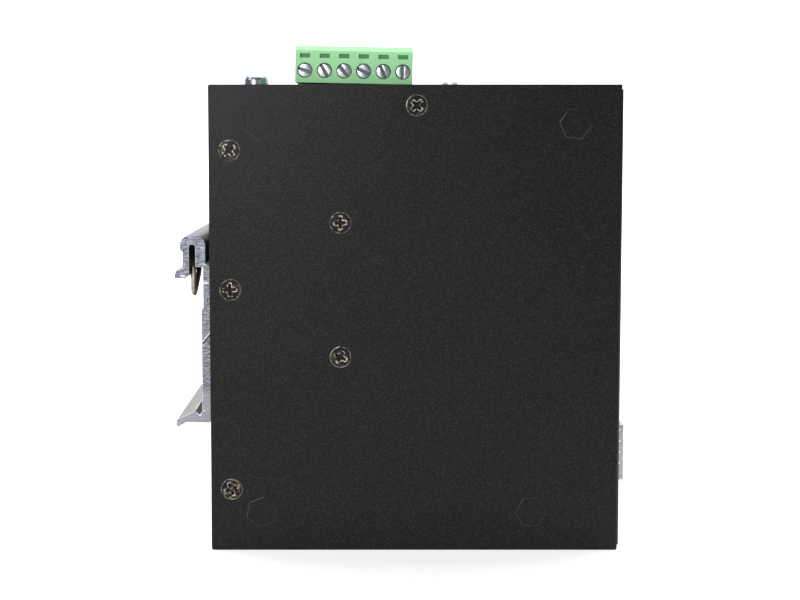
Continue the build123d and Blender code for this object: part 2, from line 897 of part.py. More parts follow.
def plug_contacts():
    """A fork on each header pin, its near prong carried up through the clamp cage."""
    near = contact_near()
    fork_y = (near, 2 * pin_y() - near)
    gap = pin_size + 2 * pin_clearance
    solids = []
    for n in range(pole_count):
        x = around(pole_x(n), contact_width)
        fork = block(x, fork_y, (plug_bottom + fork_inset, plug_shoulder - fork_inset / 2))
        fork -= block((-far, far), around(pin_y(), gap), (-far, plug_shoulder - 2 * fork_inset))
        bar = block(x, (near, near + contact_thickness), (plug_shoulder - fork_inset, contact_top()))
        solids.append(leaning(fuse(fork, bar)))
    return group(solids)


def terminal_screw(n):
    """Slotted clamp screw, its head just inside the plug's near face."""
    face = (pole_x(n), plug_near + terminal_head_recess, terminal_screw_up)
    inward = (0, 1, 0)
    radius = terminal_hole_radius - terminal_head_clearance
    head = rod(face, inward, radius, terminal_head_height)
    head = chamfer(head.edges().filter_by(GeomType.CIRCLE).sort_by(Axis.Y)[0], 0.2)
    tip = contact_near() - screw_tip_gap
    shank = rod(face, inward, terminal_thread_radius, tip - face[1])
    slot = Box(3 * radius, 2 * terminal_slot_depth, terminal_slot_width)
    slot = Pos(*face) * (Rot(0, terminal_slot_turns[n], 0) * slot)
    return leaning(fuse(head, shank) - slot)


def terminal_clamp(n):
    """Square cage with a tapped near wall, which rises as the screw turns."""
    low, high = clamp_span()
    up = terminal_screw_up
    cage = block(around(pole_x(n), clamp_size), (low, high), around(up, clamp_size))
    cage = fillet(cage.edges().filter_by(Axis.Z), 0.4)
    inner = block(
        around(pole_x(n), clamp_size - 2 * clamp_wall),
        (low + clamp_nut_wall, high - clamp_floor_wall),
        (-far, far),
    )
    thread = rod((pole_x(n), low - 1, up), (0, 1, 0), terminal_thread_radius + terminal_thread_clearance, 3)
    return leaning(cage - inner - thread)


def terminal_header():
    """Open-topped shroud on the board around the plug's neck."""
    inner_half = plug_half() - plug_neck_side + header_clearance
    low = plug_near + plug_neck_start - header_clearance
    high = plug_near + plug_neck_start + plug_neck_depth + header_clearance
    bottom = header_bottom()
    outside_x = around(terminal_x, 2 * (inner_half + header_wall))
    shroud = block(outside_x, (low - header_wall, board_face), (bottom, case_height - sheet_slip))
    shroud -= block(around(terminal_x, 2 * inner_half), (low, high), (bottom + header_floor, far))
    for n in range(pole_count):
        pin = around(pole_x(n), pin_size + 0.1)
        shroud -= block(pin, (pin_y() - pin_size / 2 - 0.05, far), around(pin_solder_up(), pin_size + 0.1))
        shroud -= block(pin, around(pin_y(), pin_size + 0.1), (pin_solder_up(), far))
    return shroud


def header_pins():
    """Square pins bent from the board up into the header."""
    solids = []
    for n in range(pole_count):
        x = around(pole_x(n), pin_size)
        up = pin_solder_up()
        tail = block(x, (pin_y() - pin_size / 2, board_back + 1.5), around(up, pin_size))
        rise = block(x, around(pin_y(), pin_size), (up, plug_shoulder - 2.4))
        rise = chamfer(rise.faces().sort_by(Axis.Z)[-1].edges(), 0.3)
        solids.append(fuse(tail, rise))
    return group(solids)


# DIP switch

def dip_top():
    return case_height - sheet - dip_below_top


def lever_middle():
    """Middle of the levers' travel."""
    return board_face - dip_depth / 2


def lever_slot_depth():
    return lever_depth + lever_travel + 4 * lever_clearance


def lever_x(n):
    return dip_x + (n - 0.5) * dip_pitch


def dip_switch_body():
    half = dip_pitch / 2 + lever_width / 2 + dip_end
    y = (board_face - dip_depth, board_face)
    body = block(around(dip_x, 2 * half), y, (dip_top() - dip_height, dip_top()))
    body = chamfer(body.edges().filter_by(Axis.Z).group_by(Axis.Y)[0], 0.4)
    wide = lever_width + 2 * lever_clearance
    run = lever_depth + lever_travel + 2 * lever_clearance
    for n in range(2):
        neck = block(around(lever_x(n), wide), around(lever_middle(), run), (dip_top() - 2, far))
        floor = dip_top() - lever_foot - 0.8
        foot_z = (floor - 2 * lever_clearance, dip_top() - 0.8)
        foot = block(around(lever_x(n), wide), around(lever_middle(), run + 2 * lever_foot), foot_z)
        body -= fuse(neck, foot)
    return body


def dip_lever(n):
    """A lever with a foot that keeps it under the switch's lid."""
    y = around(lever_middle() - lever_travel / 2, lever_depth)
    top = dip_top() - 0.8 - lever_clearance
    stem = block(around(lever_x(n), lever_width), y, (top - lever_foot, case_height + lever_stand))
    stem = chamfer(stem.faces().sort_by(Axis.Z)[-1].edges(), 0.2)
    foot_y = (y[0] - lever_foot + 0.1, y[1] + lever_foot - 0.1)
    foot = block(around(lever_x(n), lever_width), foot_y, (top - lever_foot, top))
    return fuse(stem, foot)


# Ground screw

def ground_screw():
    seat = case_height + ground_washer_thickness
    head = rod((ground_x, 0, seat), (0, 0, 1), ground_head_radius, ground_head_height)
    head = fillet(head.edges().filter_by(GeomType.CIRCLE).sort_by(Axis.Z)[-1], ground_head_height * 0.62)
    length = ground_washer_thickness + sheet + ground_nut_height + ground_screw_proud
    shank = rod((ground_x, 0, seat), (0, 0, -1), ground_screw_radius, length)
    top = (ground_x, 0, seat + ground_head_height)
    return fuse(head, shank) - cross_recess(top, (0, 0, -1), ground_screw_turn)


def ground_washer():
    """Toothed lock washer."""
    base = (ground_x, 0, case_height)
    ring = rod(base, (0, 0, 1), ground_washer_radius, ground_washer_thickness)
    ring -= rod(base, (0, 0, 1), ground_screw_radius + 0.1, ground_washer_thickness)
    notch = Pos(ground_washer_radius, 0, 0) * Box(1.6, 0.9, 4)
    notches = [
        Pos(*base) * (Rot(0, 0, 360 * n / ground_washer_teeth) * notch)
        for n in range(ground_washer_teeth)
    ]
    return ring - notches


def ground_nut():
    top = case_height - sheet
    plane = Plane(origin=(ground_x, 0, top))
    nut = extrude(plane * RegularPolygon(ground_nut_flats / 2, 6, major_radius=False), -ground_nut_height)
    return nut - rod((ground_x, 0, top + 1), (0, 0, -1), ground_screw_radius + 0.1, ground_nut_height + 2)


# Rail clip

def clip_screw_places():
    side = clip_length / 2 - clip_screw_end
    return [(y, up) for y in (-side, side) for up in clip_screw_heights]


def clip_outline():
    """Section of the extrusion: distance behind the case's rear face, and height."""
    return [
        (-0.6, 32.8),
        (0, 33.5),
        (0, hook_underside + 0.35),
        (-hook_right, hook_underside + 0.8),
        (-hook_right, hook_top),
        (-hook_left, hook_top),
        (-hook_left, lip_nib_up),
        (-lip_outer, lip_nib_up - 0.7),
        (-lip_outer, lip_bottom + 2.8),
        (-toe_reach + 0.5, lip_bottom + 2.2),
        (-toe_reach, lip_bottom + 0.9),
        (-toe_reach + 0.2, lip_bottom + 0.1),
        (-slot_left - 1.0, lip_bottom),
        (-slot_left, lip_bottom + 0.9),
        (-slot_left, slot_top),
        (-slot_right, slot_top),
        (-slot_right, hook_underside + 0.1),
        (-clip_plate, hook_underside - 0.1),
        (-clip_plate, clip_step_up),
        (-clip_foot_plate, clip_step_up - 0.5),
        (-clip_foot_plate, rail_ledge_up),
        ((-clip_foot_plate - ridge_out) / 2 + 0.4, notch_bottom_up),
        (-ridge_out, rail_ledge_up),
        (-ridge_out - 1.2, rail_ledge_up - 0.7),
        (-foot_reach + 0.2, foot_bottom_up + 1.95),
        (-foot_reach, foot_bottom_up + 0.6),
        (-foot_reach + 0.6, foot_bottom_up),
        (-6.5, 33.0),
    ]


def din_clip():
    sketch = make_face(Polyline(*[(x_rear + x, up) for x, up in clip_outline()], close=True))
    top = sketch.vertices().group_by(Axis.Y)[-1]
    sketch = fillet(top, hook_radius)
    slot = [v for v in sketch.vertices() if abs(v.Y - slot_top) < 0.001]
    sketch = fillet(slot, (slot_left - slot_right) / 2 - 0.02)
    upright = Plane(origin=(0, clip_length / 2, 0), x_dir=(1, 0, 0), z_dir=(0, -1, 0))
    clip = extrude(upright * sketch, clip_length)
    for y, up in clip_screw_places():
        clip -= countersink((x_rear - clip_foot_plate, y, up), (1, 0, 0), 2 * clip_foot_plate)
    return clip


def din_clip_screws():
    """Flush in the plate, so that the rail passes over them."""
    solids = []
    for (y, up), turn in zip(clip_screw_places(), case_screw_turns):
        face = (x_rear - clip_foot_plate, y, up)
        solids.append(flat_screw(face, (1, 0, 0), screw_length, turn))
    return group(solids)


def din_clip_nuts():
    """Clinch nuts in the rear wall."""
    inner = x_rear + sheet
    solids = []
    for y, up in clip_screw_places():
        nut = rod((inner, y, up), (1, 0, 0), clip_nut_radius, clip_nut_height)
        thread = screw_radius + screw_hole_clearance
        solids.append(nut - rod((inner - 1, y, up), (1, 0, 0), thread, clip_nut_height + 2))
    return group(solids)


def din_spring():
    """Round wire: its middle runs in the hook's slot and each end drops in a loop."""
    bend = spring_loop_width / 2
    leg_y = clip_length / 2 - spring_near_leg + spring_wire / 2
    middle = clip_length / 2 - spring_end_run
    shoulder = (middle + spring_shoulder_run, spring_loop_bottom + spring_shoulder_rise)
    slope = math.atan2(shoulder[1] - spring_loop_bottom - spring_wire / 2, leg_y - bend - shoulder[0])
    low = spring_loop_bottom + spring_wire / 2 + bend - bend / math.cos(slope) - bend * math.tan(slope)
    half = [
        (leg_y, spring_tip_up),
        (leg_y, low),
        shoulder,
        (middle - spring_entry_run, spring_middle_up),
    ]
    points = [(-y, z) for y, z in half] + [(y, z) for y, z in reversed(half)]
    radii = [bend] + [spring_bend] * 4 + [bend]
    x = x_rear - (slot_left + slot_right) / 2
    plane = Plane(origin=(x, 0, 0), x_dir=(0, 1, 0), z_dir=(1, 0, 0))
    path = FilletPolyline(*[plane.from_local_coords(Vector(y, z, 0)) for y, z in points], radius=radii)
    section = Plane(origin=path @ 0, z_dir=path % 0) * Circle(spring_wire / 2)
    return sweep(section, path)


# Indicator lights

def pipe_places():
    """Where the light pipes come through the front face, as Y and height."""
    y = board_back + pipe_side
    rows = jack_heights + [cage_up, case_height - pipe_top_drop]
    return [(y, up + side * pipe_spread) for up in rows for side in (-1, 1)]


def holder_face():
    return x_front - sheet - front_gap - holder_gap


def light_pipes():
    """Clear rods with a domed end, in the holder and the front face."""
    start = holder_face() - holder_length
    solids = []
    for y, up in pipe_places():
        pipe = rod((start, y, up), (1, 0, 0), pipe_radius, x_front + pipe_proud - start)
        solids.append(fillet(pipe.edges().filter_by(GeomType.CIRCLE).sort_by(Axis.X)[-1], pipe_dome))
    return group(solids)


def light_pipe_holder():
    places = pipe_places()
    heights = [up for _, up in places]
    reach = pipe_radius + holder_wall
    x = (holder_face() - holder_length, holder_face())
    y = (board_back, places[0][0] + reach)
    holder = block(x, y, (min(heights) - reach - holder_wall, max(heights) + reach + holder_wall))
    for y_pipe, up in places:
        holder -= rod((x[0] - 1, y_pipe, up), (1, 0, 0), pipe_radius + pipe_clearance / 2, holder_length + 2)
    return holder


def status_leds():
    """Side-looking LEDs behind the light pipes."""
    end = holder_face() - holder_length - led_gap
    solids = []
    for _, up in pipe_places():
        body = block((end - led_length, end), (board_back, board_back + led_height), around(up, led_width))
        start = (end - led_length / 2, board_back + pipe_side, up)
        lens = rod(start, (1, 0, 0), led_lens_radius, led_length / 2 + led_lens_rise)
        solids.append(fuse(body, lens))
    return group(solids)


# Every piece, under its own name

def all_nodes():
    nodes = {
        "front_wrap": front_wrap(),
        "rear_channel": rear_channel(),
        "case_screws": case_screws(),
        "heat_block": heat_block(),
        "heat_block_screws": heat_block_screws(),
        "thermal_pad": thermal_pad(),
        "switch_chip": switch_chip(),
        "board_standoffs": board_standoffs(),
        "main_board": main_board(),
        "board_screws": board_screws(),
        "board_spacers": board_spacers(),
        "power_board": power_board(),
        "power_board_screws": power_board_screws(),
        "power_transformer": power_transformer(),
        "power_inductors": power_inductors(),
        "capacitors": capacitors(),
        "alarm_relay": alarm_relay(),
        "board_link": board_link(),
        "magnetics": magnetics(),
        "rj45_contacts": rj45_contacts(),
        "sfp_cage": sfp_cage(),
        "sfp_connector": sfp_connector(),
        "terminal_header": terminal_header(),
        "header_pins": header_pins(),
        "terminal_plug": terminal_plug(),
        "plug_contacts": plug_contacts(),
        "dip_switch_body": dip_switch_body(),
        "ground_screw": ground_screw(),
        "ground_washer": ground_washer(),
        "ground_nut": ground_nut(),
        "din_clip": din_clip(),
        "din_clip_screws": din_clip_screws(),
        "din_clip_nuts": din_clip_nuts(),
        "din_spring": din_spring(),
        "light_pipes": light_pipes(),
        "light_pipe_holder": light_pipe_holder(),
        "status_leds": status_leds(),
    }
    for n, up in enumerate(jack_heights):
        nodes[f"rj45_shield_{n + 1}"] = rj45_shield(up)
        nodes[f"rj45_insert_{n + 1}"] = rj45_insert(up)
    for n in range(pole_count):
        nodes[f"terminal_screw_{n + 1}"] = terminal_screw(n)
        nodes[f"terminal_clamp_{n + 1}"] = terminal_clamp(n)
    for n in range(2):
        nodes[f"dip_lever_{n + 1}"] = dip_lever(n)
    return nodes


os.makedirs("parts", exist_ok=True)
for name, shape in all_nodes().items():
    export_step(shape, f"parts/{name}.step")
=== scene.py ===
import json
import math

import bmesh
import bpy
from mathutils import Matrix, Vector


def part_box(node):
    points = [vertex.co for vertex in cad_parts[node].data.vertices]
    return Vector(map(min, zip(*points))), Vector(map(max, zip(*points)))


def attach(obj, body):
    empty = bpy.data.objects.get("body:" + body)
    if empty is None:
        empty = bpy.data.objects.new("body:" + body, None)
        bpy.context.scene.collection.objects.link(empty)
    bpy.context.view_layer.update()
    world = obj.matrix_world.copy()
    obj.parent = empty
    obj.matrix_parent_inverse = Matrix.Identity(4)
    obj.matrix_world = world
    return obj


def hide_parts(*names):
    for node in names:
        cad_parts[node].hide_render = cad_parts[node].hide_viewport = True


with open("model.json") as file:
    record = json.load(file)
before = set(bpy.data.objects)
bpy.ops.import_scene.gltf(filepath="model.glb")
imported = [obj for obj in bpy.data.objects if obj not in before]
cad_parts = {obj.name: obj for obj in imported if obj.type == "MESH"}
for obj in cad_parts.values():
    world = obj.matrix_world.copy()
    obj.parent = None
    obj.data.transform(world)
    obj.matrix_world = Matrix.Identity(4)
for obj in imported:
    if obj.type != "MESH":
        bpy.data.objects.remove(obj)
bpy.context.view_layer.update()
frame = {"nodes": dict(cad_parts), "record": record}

# Looks of an ethernet switch for a 35 mm rail, in metres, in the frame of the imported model:
# +X is the front with the ports, -X the rail clip, -Y the side panel with the screws, +Z up.

MM = 0.001
NODES = frame["nodes"]

PANEL_LOW, PANEL_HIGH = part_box("front_wrap")
PLUG_LOW, PLUG_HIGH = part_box("terminal_plug")

# The clip's sawn end is smooth below the first height. One scratch crosses it through a point
CLIP_FOOT_TOP = 41.2 * MM
SCRATCH_X, SCRATCH_Z, SCRATCH_SLOPE = -54.7 * MM, 54.3 * MM, 1.18

BODY_OF = {node: body for body, nodes in frame["record"]["behaviour"]["bodies"].items() for node in nodes}


# Finishes

class Value:
    """A shader socket that takes part in sums. Each operator adds its Math node."""

    def __init__(self, finish, socket):
        self.finish, self.socket = finish, socket

    def maths(self, operation, *others, clamp=False):
        settings = {"operation": operation, "use_clamp": clamp}
        return self.finish.node("ShaderNodeMath", settings, self, *others)

    def __add__(self, other):
        return self.maths("ADD", other)

    def __sub__(self, other):
        return self.maths("SUBTRACT", other)

    def __rsub__(self, other):
        return self.finish.node("ShaderNodeMath", {"operation": "SUBTRACT"}, other, self)

    def __mul__(self, other):
        return self.maths("MULTIPLY", other)

    def __truediv__(self, other):
        return self.maths("DIVIDE", other)

    __radd__ = __add__

    def above(self, edge, soft):
        """0 below the edge, 1 above it, with a soft step between."""
        return ((self - (edge - soft / 2)) / soft).maths("ADD", 0.0, clamp=True)

    def below(self, edge, soft):
        return 1.0 - self.above(edge, soft)


class Finish:
    """A material on one Principled shader, with helpers for its nodes."""

    def __init__(self, name, colour, roughness, metallic=0.0, **fixed):
        self.material = bpy.data.materials.new(name)
        self.material.use_nodes = True
        self.tree = self.material.node_tree
        self.shader = next(n for n in self.tree.nodes if n.type == "BSDF_PRINCIPLED")
        self.set("Base Color", (*colour, 1.0))
        self.set("Roughness", roughness)
        self.set("Metallic", metallic)
        for socket, value in fixed.items():
            self.set(socket.replace("_", " "), value)
        self.place = self.node("ShaderNodeTexCoord", {}, out="Object")

    def node(self, kind, settings, *values, out=0):
        """Adds a node: its settings first, then a value or a link for each socket in turn."""
        made = self.tree.nodes.new(kind)
        for name, setting in settings.items():
            setattr(made, name, setting)
        for index, value in enumerate(values):
            self.feed(made.inputs[index], value)
        return Value(self, made.outputs[out])

    def named(self, kind, settings, out=0, **values):
        """The same, with its sockets by name."""
        made = self.tree.nodes.new(kind)
        for name, setting in settings.items():
            setattr(made, name, setting)
        for name, value in values.items():
            self.feed(made.inputs[name.replace("_", " ")], value)
        return Value(self, made.outputs[out])

    def feed(self, socket, value):
        if isinstance(value, Value):
            self.tree.links.new(value.socket, socket)
        else:
            socket.default_value = value

    def set(self, socket, value):
        self.feed(self.shader.inputs[socket], value)

    def stretched(self, x, y, z):
        """Object coordinates scaled along each axis."""
        return self.named("ShaderNodeMapping", {}, Vector=self.place, Scale=(x, y, z))

    def noise(self, grain, detail=2.0, vector=None, roughness=0.5):
        """Noise whose blotches are about grain metres across."""
        vector = vector or self.place
        return self.named(
            "ShaderNodeTexNoise", {}, Vector=vector, Scale=1 / grain, Detail=detail, Roughness=roughness
        )

    def cells(self, grain):
        """Distance to the nearest of many points, about grain metres apart."""
        return self.named("ShaderNodeTexVoronoi", {}, out="Distance", Vector=self.place, Scale=1 / grain)

    def axis(self, letter):
        """One of the object coordinates, as a value."""
        return self.node("ShaderNodeSeparateXYZ", {}, self.place, out=letter)

    def mix(self, low, high, factor):
        """Colour between low and high."""
        made = self.tree.nodes.new("ShaderNodeMix")
        made.data_type = "RGBA"
        for index, value in ((0, factor), (6, low), (7, high)):
            if isinstance(value, tuple):
                value = (*value, 1.0)
            self.feed(made.inputs[index], value)
        return Value(self, made.outputs[2])

    def bump(self, height, distance, strength=1.0):
        """A normal for relief of the given distance in metres."""
        return self.named("ShaderNodeBump", {}, Strength=strength, Distance=distance, Height=height)


def powder_coat():
    """Black powder coat: a fine leathery grain with many small pale flecks."""
    finish = Finish("black_powder_coat", (0.0095, 0.0095, 0.0102), 0.42, Specular_IOR_Level=0.16)
    grain = finish.noise(0.6 * MM, 3.0)
    fine = finish.noise(0.26 * MM, 2.0)
    cloud = finish.noise(22 * MM, 3.0)
    fleck = finish.noise(0.3 * MM, 1.0).above(0.62, 0.16)
    base = finish.mix((0.0028, 0.0028, 0.0032), (0.0054, 0.0054, 0.0059), cloud)
    finish.set("Base Color", finish.mix(base, (0.022, 0.022, 0.024), fleck))
    finish.set("Roughness", 0.32 + grain * 0.12)
    finish.set("Normal", finish.bump(grain * 0.7 + fine * 0.3, 0.05 * MM, strength=0.5))
    return finish


def black_zinc():
    """Black-passivated screws: browned in patches by rubbed, with painted bright glints round the recess
    and on the rim.
    """
    finish = Finish("black_zinc", (0.02, 0.019, 0.019), 0.32, 0.85)
    patch = finish.noise(0.9 * MM, 4.0).above(0.6, 0.18)
    rubbed = finish.named("ShaderNodeAttribute", {"attribute_name": "rubbed"}, out="Fac")
    worn = finish.named("ShaderNodeAttribute", {"attribute_name": "worn"}, out="Fac")
    dark = finish.mix((0.008, 0.008, 0.008), (0.04, 0.035, 0.031), patch)
    browned = finish.mix(dark, (0.22, 0.165, 0.115), rubbed * rubbed * patch)
    # Painted highlights: pale, less metallic specks round the recess and on the rim stand in for glints
    painted_glint = worn * finish.noise(0.6 * MM, 2.0).above(0.51, 0.1)
    finish.set("Base Color", finish.mix(browned, (0.85, 0.79, 0.66), painted_glint))
    finish.set("Metallic", 0.85 - painted_glint * 0.6)
    finish.set("Roughness", 0.24 + finish.noise(0.5 * MM) * 0.2)
    finish.set("Normal", finish.bump(finish.noise(0.25 * MM, 3.0), 0.012 * MM))
    return finish


def bright_metal(name, warm, cool, roughness):
    """Plated or drawn metal: patches between two tints, and fine scratches."""
    finish = Finish(name, warm, roughness, 1.0)
    tint = finish.noise(2.2 * MM, 2.0).above(0.5, 0.5)
    finish.set("Base Color", finish.mix(warm, cool, tint))
    scratch = finish.noise(0.7 * MM, 4.0, finish.stretched(1.0, 1.0, 6.0))
    finish.set("Roughness", roughness - 0.06 + scratch * 0.16)
    finish.set("Normal", finish.bump(scratch * 0.6 + finish.noise(0.2 * MM) * 0.4, 0.008 * MM))
    return finish


def extruded_aluminium():
    """Plain extruded faces: fine die lines along the length, warm dull grey."""
    finish = Finish("extruded_aluminium", (0.3, 0.295, 0.285), 0.42, 0.6)
    lines = finish.noise(0.35 * MM, 3.0, finish.stretched(1.0, 0.012, 1.0))
    broad = finish.noise(6 * MM, 3.0, finish.stretched(1.0, 0.1, 1.0))
    streaks = lines * 0.5 + broad * 0.5
    finish.set("Base Color", finish.mix((0.075, 0.073, 0.07), (0.135, 0.132, 0.127), streaks))
    finish.set("Roughness", 0.33 + lines * 0.22)
    finish.set("Normal", finish.bump(lines, 0.02 * MM))
    return finish


def sawn_aluminium():
    """Cut end of the extrusion: blue-grey mottle, slanting saw marks, one deep scratch, a smooth foot."""
    finish = Finish("sawn_aluminium", (0.3, 0.31, 0.36), 0.45, 0.8)
    turned = finish.named(
        "ShaderNodeMapping", {}, Vector=finish.place, Rotation=(0.0, math.radians(-38), 0.0),
        Scale=(0.28, 1.0, 1.0),
    )
    marks = finish.noise(1.1 * MM, 4.0, turned, 0.6)
    mottle = finish.noise(0.36 * MM, 4.0, turned, 0.65)
    foot = finish.axis("Z").below(CLIP_FOOT_TOP, 1.5 * MM)
    dark = finish.mix((0.06, 0.064, 0.084), (0.31, 0.316, 0.36), mottle.above(0.5, 0.22))
    dark = finish.mix(dark, (0.27, 0.272, 0.3), foot * 0.75)
    bright = marks.above(0.62, 0.08) * finish.noise(3.5 * MM, 1.0).above(0.52, 0.2)
    rise = (finish.axis("X") - SCRATCH_X) * SCRATCH_SLOPE
    across = (rise - (finish.axis("Z") - SCRATCH_Z)) * (1 / math.hypot(SCRATCH_SLOPE, 1))
    near_end = finish.axis("Y").below(0.0, 0.1 * MM)
    scratch = across.maths("ABSOLUTE").below(0.13 * MM, 0.1 * MM) * near_end
    burr = (across - 0.34 * MM).maths("ABSOLUTE").below(0.22 * MM, 0.12 * MM) * near_end
    dark = finish.mix(dark, (0.03, 0.032, 0.045), burr)
    finish.set("Base Color", finish.mix(dark, (0.64, 0.65, 0.68), (bright * 0.8).maths("MAXIMUM", scratch)))
    finish.set("Roughness", 0.34 + mottle * 0.3)
    relief = (marks * 0.6 + mottle * 0.4) * (1.0 - foot * 0.8)
    finish.set("Normal", finish.bump(relief, 0.14 * MM, strength=0.8))
    return finish


def milled_aluminium():
    """Clean cut aluminium with fine upright cutter lines."""
    finish = Finish("milled_aluminium", (0.6, 0.61, 0.63), 0.34, 1.0)
    lines = finish.noise(0.5 * MM, 2.0, finish.stretched(1.0, 1.0, 0.03))
    finish.set("Base Color", finish.mix((0.5, 0.51, 0.53), (0.68, 0.69, 0.7), lines))
    finish.set("Roughness", 0.26 + lines * 0.2)
    finish.set("Normal", finish.bump(lines, 0.01 * MM))
    return finish


def spring_steel():
    """Nickel-plated wire with a bronze cast."""
    finish = Finish("spring_steel", (0.34, 0.29, 0.24), 0.24, 1.0)
    patch = finish.noise(3 * MM, 2.0)
    finish.set("Base Color", finish.mix((0.2, 0.155, 0.115), (0.4, 0.345, 0.29), patch.above(0.47, 0.3)))
    finish.set("Roughness", 0.18 + patch * 0.08)
    return finish


def moulded(name, dark, light, roughness, grain=0.5):
    """Moulded plastic with a slight flow mottle and a fine spark-eroded texture."""
    finish = Finish(name, light, roughness, Specular_IOR_Level=0.5)
    flow = finish.noise(7 * MM, 3.0)
    texture = finish.noise(grain * MM, 3.0)
    finish.set("Base Color", finish.mix(dark, light, flow * 0.6 + texture * 0.4))
    finish.set("Roughness", roughness - 0.07 + texture * 0.14)
    finish.set("Normal", finish.bump(texture, 0.01 * MM))
    return finish


def gold_flash():
    """Thin gold plate on the contact wires."""
    finish = Finish("gold_flash", (0.83, 0.6, 0.24), 0.22, 1.0)
    patch = finish.noise(1.2 * MM, 2.0)
    finish.set("Base Color", finish.mix((0.72, 0.5, 0.19), (0.9, 0.68, 0.3), patch))
    finish.set("Roughness", 0.16 + patch * 0.14)
    return finish


def circuit_board():
    """Green solder mask over faint tracks, with the glass weave just visible."""
    finish = Finish("circuit_board", (0.012, 0.09, 0.035), 0.3, Specular_IOR_Level=0.6)
    tracks = finish.named(
        "ShaderNodeTexWave", {"wave_type": "BANDS", "bands_direction": "DIAGONAL"}, out="Fac",
        Vector=finish.place, Scale=260.0, Distortion=2.5, Detail=0.0,
    )
    weave = finish.cells(0.7 * MM)
    green = finish.mix((0.009, 0.07, 0.028), (0.02, 0.13, 0.05), tracks.above(0.7, 0.1))
    finish.set("Base Color", green)
    finish.set("Roughness", 0.26 + weave * 0.12)
    finish.set("Normal", finish.bump(tracks.above(0.7, 0.1) + weave * 0.2, 0.02 * MM))
    return finish


def clear_acrylic():
    """Slightly scuffed clear light pipes."""
    finish = Finish("clear_acrylic", (0.83, 0.86, 0.88), 0.12, Transmission_Weight=0.55, IOR=1.49)
    finish.set("Roughness", 0.08 + finish.noise(1.5 * MM) * 0.12)
    return finish


FINISHES = {
    "black_paint": powder_coat(),
    "black_screw": black_zinc(),
    "block_aluminium": milled_aluminium(),
    "clip_aluminium": extruded_aluminium(),
    "can_aluminium": bright_metal("drawn_can", (0.66, 0.66, 0.68), (0.72, 0.72, 0.73), 0.28),
    "thermal_pad": moulded("silicone_pad", (0.2, 0.25, 0.34), (0.28, 0.33, 0.42), 0.75),
    "chip_plastic": moulded("black_moulding", (0.011, 0.011, 0.012), (0.02, 0.02, 0.021), 0.5),
    "circuit_board": circuit_board(),
    "zinc_steel": bright_metal("bright_zinc", (0.4, 0.41, 0.425), (0.34, 0.385, 0.44), 0.27),
    "ferrite": moulded("sintered_ferrite", (0.03, 0.03, 0.032), (0.06, 0.06, 0.062), 0.6, 0.3),
    "gold_contact": gold_flash(),
    "tin_contact": bright_metal("tin_plate", (0.62, 0.61, 0.59), (0.68, 0.68, 0.67), 0.36),
    "cage_tin": bright_metal("satin_tin", (0.4, 0.395, 0.38), (0.47, 0.465, 0.445), 0.42),
    "jack_nickel": bright_metal("jack_nickel", (0.42, 0.41, 0.39), (0.48, 0.475, 0.455), 0.3),
    "green_plastic": moulded("green_moulding", (0.27, 0.62, 0.28), (0.31, 0.69, 0.32), 0.42),
    "spring_wire": spring_steel(),
    "clear_plastic": clear_acrylic(),
    "led_white": moulded("led_moulding", (0.72, 0.72, 0.68), (0.83, 0.83, 0.8), 0.35),
    "white_plastic": moulded("white_moulding", (0.8, 0.8, 0.78), (0.88, 0.88, 0.86), 0.38),
}
SAWN = sawn_aluminium()
SLOT_OF = {entry["node"]: entry["material_slot"] for entry in frame["record"]["subparts"]}


# Shared steps

# Mean width above which a face is shaded flat
WIDE = 1.2 * MM


def plain_mesh(name, form):
    """A mesh from a bmesh, which is freed."""
    mesh = bpy.data.meshes.new(name)
    form.to_mesh(mesh)
    form.free()
    return mesh


def set_down(name, data):
    """A new object in the scene, at the origin and unturned."""
    piece = bpy.data.objects.new(name, data)
    bpy.context.scene.collection.objects.link(piece)
    return piece


def bake(piece):
    """The piece with its modifiers applied, as one plain mesh."""
    bpy.context.view_layer.update()
    evaluated = piece.evaluated_get(bpy.context.evaluated_depsgraph_get())
    mesh = bpy.data.meshes.new_from_object(evaluated)
    mesh.name = piece.name
    piece.modifiers.clear()
    piece.data = mesh
    return piece


def smooth(mesh, angle=32, folded=False):
    """Smooth shading up to the angle, except on wide faces.

    On folded sheet, every face square to an axis stays flat too.
    """
    mesh.shade_smooth()
    mesh.set_sharp_from_angle(angle=math.radians(angle))
    places = mesh.vertices
    for face in mesh.polygons:
        corners = [places[index].co for index in face.vertices]
        longest = max((one - two).length for one, two in zip(corners, corners[1:] + corners[:1]))
        square = folded and max(abs(part) for part in face.normal) > 0.99999
        face.use_smooth = face.area / longest < WIDE and not square


def merged_copy(node):
    """A copy of a solid's mesh with its triangles joined and its flat faces whole."""
    form = bmesh.new()
    form.from_mesh(NODES[node].data)
    bmesh.ops.remove_doubles(form, verts=form.verts, dist=0.001 * MM)
    bmesh.ops.dissolve_limit(form, angle_limit=math.radians(0.4), verts=form.verts, edges=form.edges)
    return form


def dress(
    node, bevel=0.0, segments=2, finishes=None, chosen=None, edge_finish=None, angle=30, crease=24,
    folded=False,
):
    """A solid's own shape with broken edges. chosen(face) picks one of the finishes."""
    form = merged_copy(node)
    finishes = finishes or [FINISHES[SLOT_OF[node]]]
    for face in form.faces:
        face.material_index = chosen(face) if chosen else 0
    piece = set_down(f"{node}.dressed", plain_mesh(f"{node}.dressed", form))
    for finish in finishes:
        piece.data.materials.append(finish.material)
    if bevel:
        edges = piece.modifiers.new("broken_edges", "BEVEL")
        edges.width = bevel
        edges.segments = segments
        edges.limit_method = "ANGLE"
        edges.angle_limit = math.radians(angle)
        edges.use_clamp_overlap = True
        if edge_finish is not None:
            edges.material = edge_finish
        bake(piece)
    smooth(piece.data, crease, folded)
    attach(piece, BODY_OF[node])
    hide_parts(node)
    return piece


# Fasteners, scattered by Geometry Nodes

